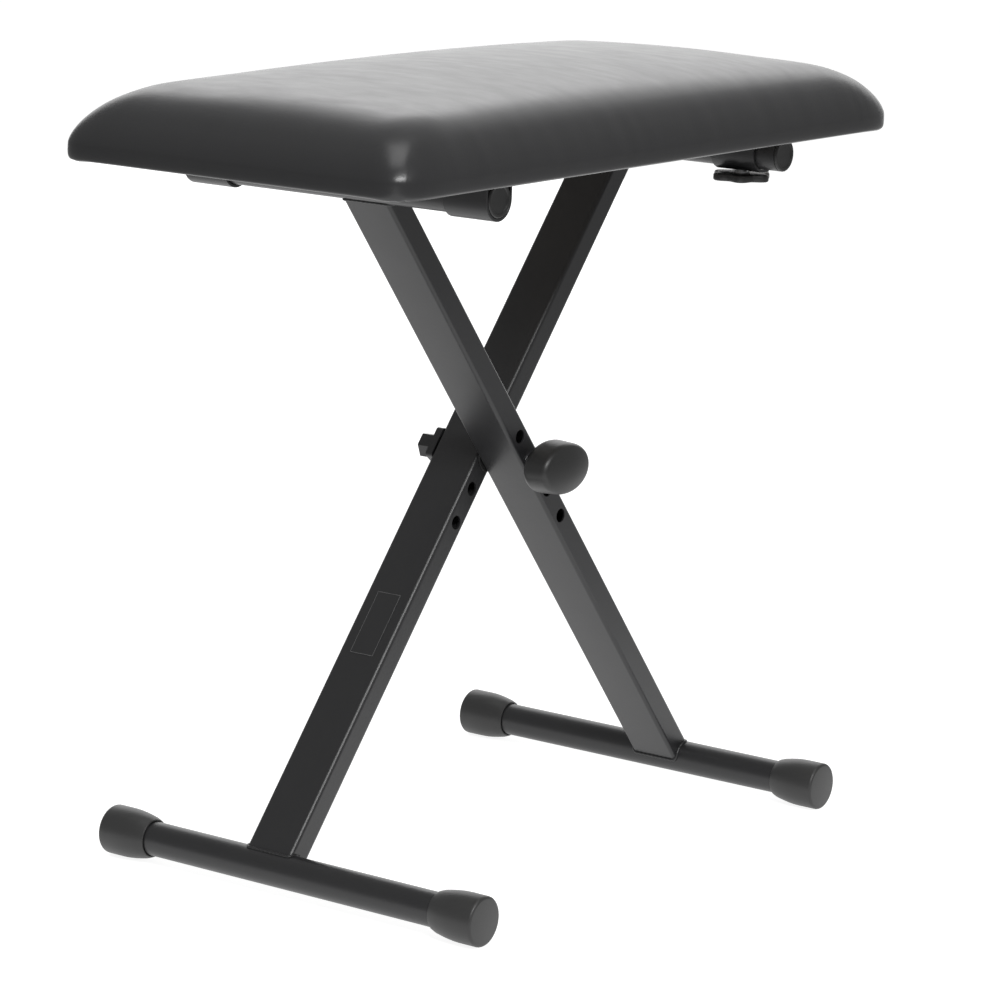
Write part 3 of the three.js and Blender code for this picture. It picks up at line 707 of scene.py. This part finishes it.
def pad_height(x, y, level):
    """Height of the padded top over the seat's underside. level is 1 at the edge, 0 inside."""
    crown = (1 - (2 * x / SEAT_WIDTH) ** 2) * (1 - (2 * y / SEAT_LENGTH) ** 2)
    rise = SEAT_THICKNESS - SEAT_CROWN - SEAT_EDGE
    return SEAT_EDGE + rise * roll_rise(1 - level) + SEAT_CROWN * crown


def edge_levels(x, y):
    """Level of a place in each roll: 1 at the seat's edge and 0 where the roll begins."""
    p = max(1 - (SEAT_WIDTH / 2 - abs(x)) / SIDE_ROLL, 0)
    q = max(1 - (SEAT_LENGTH / 2 - abs(y)) / END_ROLL, 0)
    return p, q


def squareness(level):
    """How square the seat's outline is at a level: nearly so at its edge, softer further up."""
    share = max((level - CORNER_FROM) / (1 - CORNER_FROM), 0)
    return CORNER_SOFT + (CORNER_SQUARE - CORNER_SOFT) * share ** CORNER_BLEND


def pad_place(u, v):
    """Place in plan of a spot on the sheet, and its level."""
    x = math.sin(u * math.pi / 2) * SEAT_WIDTH / 2
    y = math.sin(v * math.pi / 2) * SEAT_LENGTH / 2
    p, q = edge_levels(x, y)
    level = max(p, q)
    if p > 0 and q > 0:
        power = squareness(level)
        squeeze = level / (p ** power + q ** power) ** (1 / power)
        x = math.copysign(SEAT_WIDTH / 2 - SIDE_ROLL * (1 - p * squeeze), x)
        y = math.copysign(SEAT_LENGTH / 2 - END_ROLL * (1 - q * squeeze), y)
    return x, y, level


def outward(x, y):
    """Direction in plan in which the seat's edge faces at one of its places."""
    p, q = edge_levels(x, y)
    p = p ** (CORNER_SQUARE - 1) / SIDE_ROLL
    q = q ** (CORNER_SQUARE - 1) / END_ROLL
    return Vector((math.copysign(p, x), math.copysign(q, y))).normalized()


def pucker(x, y, level):
    """Slight upright waves where the cover is pulled down over the roll, calm at the corners."""
    facing = outward(x, y)
    along = y * abs(facing.x) + x * abs(facing.y)
    wave = sum(
        share * noise.noise(Vector((along * pace, facing.x * turn, facing.y * turn)))
        for share, pace, turn in PUCKER_WAVES
    )
    calm = 1 - 2 * abs(facing.x * facing.y)
    low = max(level - PUCKER_FROM, 0) / (1 - PUCKER_FROM)
    return Vector((facing.x, facing.y, 0)) * (PUCKER_DEPTH * wave * calm * low)


def drawn_in(x, y):
    """The same place, with the sides pulled in between the corners."""
    half_x, half_y = SEAT_WIDTH / 2, SEAT_LENGTH / 2
    roll_x = min(max((half_x - abs(x)) / SIDE_ROLL, 0), 1)
    roll_y = min(max((half_y - abs(y)) / END_ROLL, 0), 1)
    pull_x = 4 * roll_x * (1 - roll_x) * SEAT_DRAW_IN * (1 - (y / half_y) ** 2)
    pull_y = 4 * roll_y * (1 - roll_y) * SEAT_DRAW_IN * (1 - (x / half_x) ** 2)
    return x - math.copysign(pull_x, x), y - math.copysign(pull_y, y)


def pad_grid():
    """The padded top as a grid, with the plan places of its outline."""
    bm = bmesh.new()
    bmesh.ops.create_grid(bm, x_segments=COLUMNS, y_segments=ROWS, size=1.0)
    outline = {}
    for vert in bm.verts:
        x, y, level = pad_place(vert.co.x, vert.co.y)
        height = pad_height(x, y, level)
        if vert.is_boundary:
            outline[vert] = Vector((x, y))
        x, y = drawn_in(x, y)
        spot = Vector((x, y, 0)) + pucker(x, y, level)
        vert.co = Vector((spot.x, spot.y, SEAT_UNDERSIDE + height))
    bm.normal_update()
    return bm, outline


def gather(facing, inset):
    """Folds of the hem where it is gathered round a corner: how far it goes down there."""
    if inset < FOLD_FROM:
        return 0.0
    angle = math.atan2(abs(facing.y), abs(facing.x))
    return -FOLD_DEPTH * abs(math.sin(angle * FOLD_TURNS)) * min(inset / FOLD_FULL, 1)


def start_of(vert, starts):
    """What is kept for the point that a new point was just drawn out of."""
    for edge in vert.link_edges:
        other = edge.other_vert(vert)
        if other in starts and (other.co - vert.co).length < SAME_PLACE:
            return starts[other]


def cover_sheet():
    """The cover as one open sheet: crown, rolls, wall and hem, with its edge under the board."""
    bm, starts = pad_grid()
    rim = [edge for edge in bm.edges if edge.is_boundary]
    for inset, height in HEM_RINGS:
        grown = bmesh.ops.extrude_edge_only(bm, edges=rim)["geom"]
        rim = [item for item in grown if isinstance(item, bmesh.types.BMEdge) and item.is_boundary]
        fresh = [item for item in grown if isinstance(item, bmesh.types.BMVert)]
        starts = {vert: start_of(vert, starts) for vert in fresh}
        for vert, start in starts.items():
            facing = outward(start.x, start.y)
            place = start - facing * inset
            drop = gather(facing, inset)
            vert.co = Vector((place.x, place.y, SEAT_UNDERSIDE + height + drop))
    bmesh.ops.recalc_face_normals(bm, faces=bm.faces)
    in_metres(bm)
    return bm


def evened(mesh, values, free):
    """Values on a mesh's points, each free one evened out with its neighbours'."""
    near = [[] for point in mesh.vertices]
    for edge in mesh.edges:
        a, b = edge.vertices
        near[a].append(b)
        near[b].append(a)
    for turn in range(EVENING_TURNS):
        values = [
            sum(values[other] for other in near[i]) / len(near[i]) if free[i] else 0
            for i in range(len(values))
        ]
    return values


def simulated(sheet, held_below, cap):
    """Presses the sheet out from inside with the cloth solver and applies the result."""
    start = [vert.co.copy() for vert in sheet.data.vertices]
    held = sheet.vertex_groups.new(name=CLOTH["vertex_group_mass"])
    held.add([i for i, co in enumerate(start) if co.z < held_below], 1.0, "REPLACE")
    cloth = sheet.modifiers.new("press", "CLOTH")
    for key, value in CLOTH.items():
        setattr(cloth.settings, key, value)
    cloth.settings.effector_weights.gravity = 0
    cloth.collision_settings.use_collision = False
    scene = bpy.context.scene
    for number in range(1, PRESS_FRAMES + 1):
        scene.frame_set(number)
    graph = bpy.context.evaluated_depsgraph_get()
    pressed = [vert.co.copy() for vert in sheet.evaluated_get(graph).data.vertices]
    sheet.modifiers.remove(cloth)
    sheet.vertex_groups.clear()
    scene.frame_set(1)
    normals = [vert.normal.copy() for vert in sheet.data.vertices]
    swell = [
        min(max((place - co).dot(normal), 0), cap)
        for place, co, normal in zip(pressed, start, normals)
    ]
    free = [co.z > held_below for co in start]
    for vert, rise, normal in zip(sheet.data.vertices, evened(sheet.data, swell, free), normals):
        vert.co = vert.co + normal * rise


def seat_cover():
    """The padded vinyl cover: sewn a little slack, pressed out from inside, then given a wall."""
    bm = cover_sheet()
    slack = COVER_SLACK * MM
    bm.normal_update()
    for vert in bm.verts:
        height = vert.co.z / MM - SEAT_UNDERSIDE
        if height > SEAT_EDGE:
            vert.co -= vert.normal * slack * min((height - SEAT_EDGE) / COVER_SLACK_RISE, 1)
    mesh = mesh_from(bm, "seat_cover_sewn", NO_SHARP_ANGLE)
    piece = new_piece("seat_cover_sewn", mesh, "black_vinyl", "seat")
    simulated(piece, (SEAT_UNDERSIDE + SEAT_EDGE + HELD_MARGIN) * MM, COVER_SWELL * MM)
    wall = piece.modifiers.new("wall", "SOLIDIFY")
    wall.thickness = COVER_THICK * MM
    wall.offset = -1
    soft = piece.modifiers.new("soft", "SUBSURF")
    soft.levels = soft.render_levels = 1
    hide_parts("seat_cover")


def seat_foam():
    """The foam inside the cover: the same padded top, set in a little and closed below."""
    bm, _ = pad_grid()
    for vert in bm.verts:
        vert.co -= vert.normal * FOAM_INSET
        if vert.is_boundary:
            vert.co.z = SEAT_UNDERSIDE + FOAM_FROM
    bmesh.ops.holes_fill(bm, edges=[edge for edge in bm.edges if edge.is_boundary], sides=0)
    bmesh.ops.recalc_face_normals(bm, faces=bm.faces)
    in_metres(bm)
    mesh = mesh_from(bm, "seat_foam_cut", FOAM_SHARP_ANGLE)
    piece = new_piece("seat_foam_cut", mesh, "seat_foam", "seat")
    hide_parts("seat_foam")


def seat_board():
    """The CAD board with its plan corners cut rounder, so that the cover goes round them."""
    bm = joined_copy("seat_board")
    half_x, half_y = SEAT_WIDTH / 2 - BOARD_INSET, SEAT_LENGTH / 2 - BOARD_INSET
    for vert in bm.verts:
        x, y = vert.co.x / MM, vert.co.y / MM
        dx, dy = abs(x) - half_x + SEAT_CORNER, abs(y) - half_y + SEAT_CORNER
        on_arc = abs(math.hypot(dx, dy) - SEAT_CORNER) < BOARD_ARC_SLACK
        if on_arc and min(dx, dy) > -BOARD_SIDE_SLACK:
            x = math.copysign(half_x - BOARD_CORNER * (1 - dx / SEAT_CORNER), x)
            y = math.copysign(half_y - BOARD_CORNER * (1 - dy / SEAT_CORNER), y)
            vert.co.x, vert.co.y = x * MM, y * MM
    mesh = mesh_from(bm, "seat_board_cut")
    mesh.shade_flat()
    piece = new_piece("seat_board_cut", mesh, "plywood", "seat")
    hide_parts("seat_board")


def hem_staples():
    """Steel staples that hold the hem to the board, one mesh."""
    line_x = SEAT_WIDTH / 2 - COVER_HEM * STAPLE_PLACE
    line_y = SEAT_LENGTH / 2 - COVER_HEM * STAPLE_PLACE
    spots = []
    for i in range(STAPLES_ALONG + 1):
        y = (i / STAPLES_ALONG * 2 - 1) * (line_y - STAPLE_END)
        spots += [(line_x, y, math.pi / 2), (-line_x, y, math.pi / 2)]
    for i in range(STAPLES_ACROSS + 1):
        x = (i / STAPLES_ACROSS * 2 - 1) * (line_x - STAPLE_END)
        spots += [(x, line_y, 0.0), (x, -line_y, 0.0)]
    dice = random.Random(STAPLE_SEED)
    bm = bmesh.new()
    for x, y, turn in spots:
        made = bmesh.ops.create_cube(bm, size=1.0)["verts"]
        bmesh.ops.scale(bm, vec=STAPLE_SIZE, verts=made)
        turn += math.radians(dice.uniform(-STAPLE_TILT, STAPLE_TILT))
        bmesh.ops.rotate(bm, cent=(0, 0, 0), matrix=Matrix.Rotation(turn, 3, "Z"), verts=made)
        x += dice.uniform(-STAPLE_STRAY, STAPLE_STRAY)
        y += dice.uniform(-STAPLE_STRAY, STAPLE_STRAY)
        bmesh.ops.translate(bm, vec=(x, y, SEAT_UNDERSIDE - STAPLE_SINK), verts=made)
    bmesh.ops.bevel(
        bm, geom=bm.edges[:], offset=STAPLE_EDGE, offset_type="OFFSET", segments=1,
        profile=0.5, affect="EDGES", material=-1,
    )
    in_metres(bm)
    new_piece("hem_staples", mesh_from(bm, "hem_staples"), "zinc_steel", "seat")


# Label

def leg_label():
    """A thin film with a fine frame line and nothing on it, on the wide face of leg b."""
    bm = bmesh.new()
    bmesh.ops.create_grid(bm, x_segments=1, y_segments=1, size=0.5)
    bmesh.ops.scale(bm, vec=(*LABEL_SIZE, 1), verts=bm.verts)
    face = bm.faces[:]
    bmesh.ops.inset_region(bm, faces=face, thickness=LABEL_MARGIN, use_boundary=True)
    for strip in bmesh.ops.inset_region(bm, faces=face, thickness=LABEL_FRAME)["faces"]:
        strip.material_index = 1
    top = bmesh.ops.extrude_face_region(bm, geom=bm.faces[:])["geom"]
    raised = [item for item in top if isinstance(item, bmesh.types.BMVert)]
    bmesh.ops.translate(bm, vec=(0, 0, LABEL_THICK), verts=raised)
    bmesh.ops.recalc_face_normals(bm, faces=bm.faces)
    upright = Matrix.Rotation(math.pi / 2, 4, "X")
    on_leg = Matrix.Translation((0, -LEG_THIN / 2 - LABEL_GAP, LABEL_ALONG))
    lean = Matrix.Rotation(-LEG_LEAN, 4, "X")
    leg = Matrix.Translation((-LEG_CENTRE, 0, PIVOT_HEIGHT))
    bmesh.ops.transform(bm, matrix=leg @ lean @ on_leg @ upright, verts=bm.verts)
    in_metres(bm)
    mesh = mesh_from(bm, "leg_label")
    new_piece("leg_label", mesh, "coated_steel", "leg_frame_b")
    mesh.materials[0] = LABEL_FILM
    mesh.materials.append(LABEL_LINE)


# Studio

def facing_from(azimuth, elevation):
    """Direction from the bench towards a place seen at an azimuth and elevation, in degrees."""
    a, e = math.radians(azimuth), math.radians(elevation)
    return Vector((math.sin(a) * math.cos(e), -math.cos(a) * math.cos(e), math.sin(e)))


def floor():
    """A wide plain floor."""
    bm = bmesh.new()
    bmesh.ops.create_grid(bm, x_segments=1, y_segments=1, size=FLOOR_HALF)
    mesh = mesh_from(bm, "studio_floor")
    mesh.materials.append(floor_finish())
    piece = bpy.data.objects.new("studio_floor", mesh)
    bpy.context.scene.collection.objects.link(piece)


def soft_box(name, azimuth, elevation, distance, wide, high, power):
    """An area light that looks at the middle of the bench."""
    back = facing_from(azimuth, elevation)
    light = bpy.data.lights.new(name, "AREA")
    light.shape = "RECTANGLE"
    light.size, light.size_y = wide, high
    light.energy = power
    holder = bpy.data.objects.new(name, light)
    bpy.context.scene.collection.objects.link(holder)
    holder.location = Vector((0, 0, BENCH_MIDDLE)) + back * distance
    holder.rotation_mode = "QUATERNION"
    holder.rotation_quaternion = (-back).to_track_quat("-Z", "Y")


def studio():
    """World, lights and colour of the studio."""
    world = bpy.data.worlds.new("studio_air")
    world.use_nodes = True
    world.node_tree.nodes["Background"].inputs["Color"].default_value = (*AIR_GREY, 1.0)
    bpy.context.scene.world = world
    for box in SOFT_BOXES:
        soft_box(*box)
    bpy.context.scene.view_settings.view_transform = "Standard"


def camera():
    """The camera at the photograph's place."""
    back = facing_from(CAMERA_AZIMUTH, CAMERA_ELEVATION)
    right = (-back).cross(Vector((0, 0, 1))).normalized()
    up = right.cross(-back)
    roll = math.radians(CAMERA_ROLL)
    across = right * math.cos(roll) + up * math.sin(roll)
    upward = up * math.cos(roll) - right * math.sin(roll)
    target = Vector((0, 0, TARGET_HEIGHT)) + right * TARGET_SHIFT[0] + up * TARGET_SHIFT[1]
    place = (target + back * CAMERA_DISTANCE) * MM
    lens = bpy.data.cameras.new("camera")
    lens.sensor_width = SENSOR
    lens.lens = CAMERA_FOCUS * SENSOR
    lens.shift_x = 0.5 - CAMERA_CENTRE[0]
    lens.shift_y = CAMERA_CENTRE[1] - 0.5
    lens.clip_end = CAMERA_REACH
    holder = bpy.data.objects.new("camera", lens)
    bpy.context.scene.collection.objects.link(holder)
    axes = Matrix((across, upward, back)).transposed()
    holder.matrix_world = Matrix.Translation(place) @ axes.to_4x4()
    bpy.context.scene.camera = holder


for row in NODE_EDGES:
    finished_node(*row)
turned_knob()
weld_bead("weld_foot_a", 1, "foot", "leg_frame_a")
weld_bead("weld_tee_a", 1, "tee", "leg_frame_a")
weld_bead("weld_foot_b", -1, "foot", "leg_frame_b")
weld_bead("weld_tee_b", -1, "tee", "leg_frame_b")
seat_cover()
seat_foam()
seat_board()
hem_staples()
leg_label()
floor()
studio()
camera()
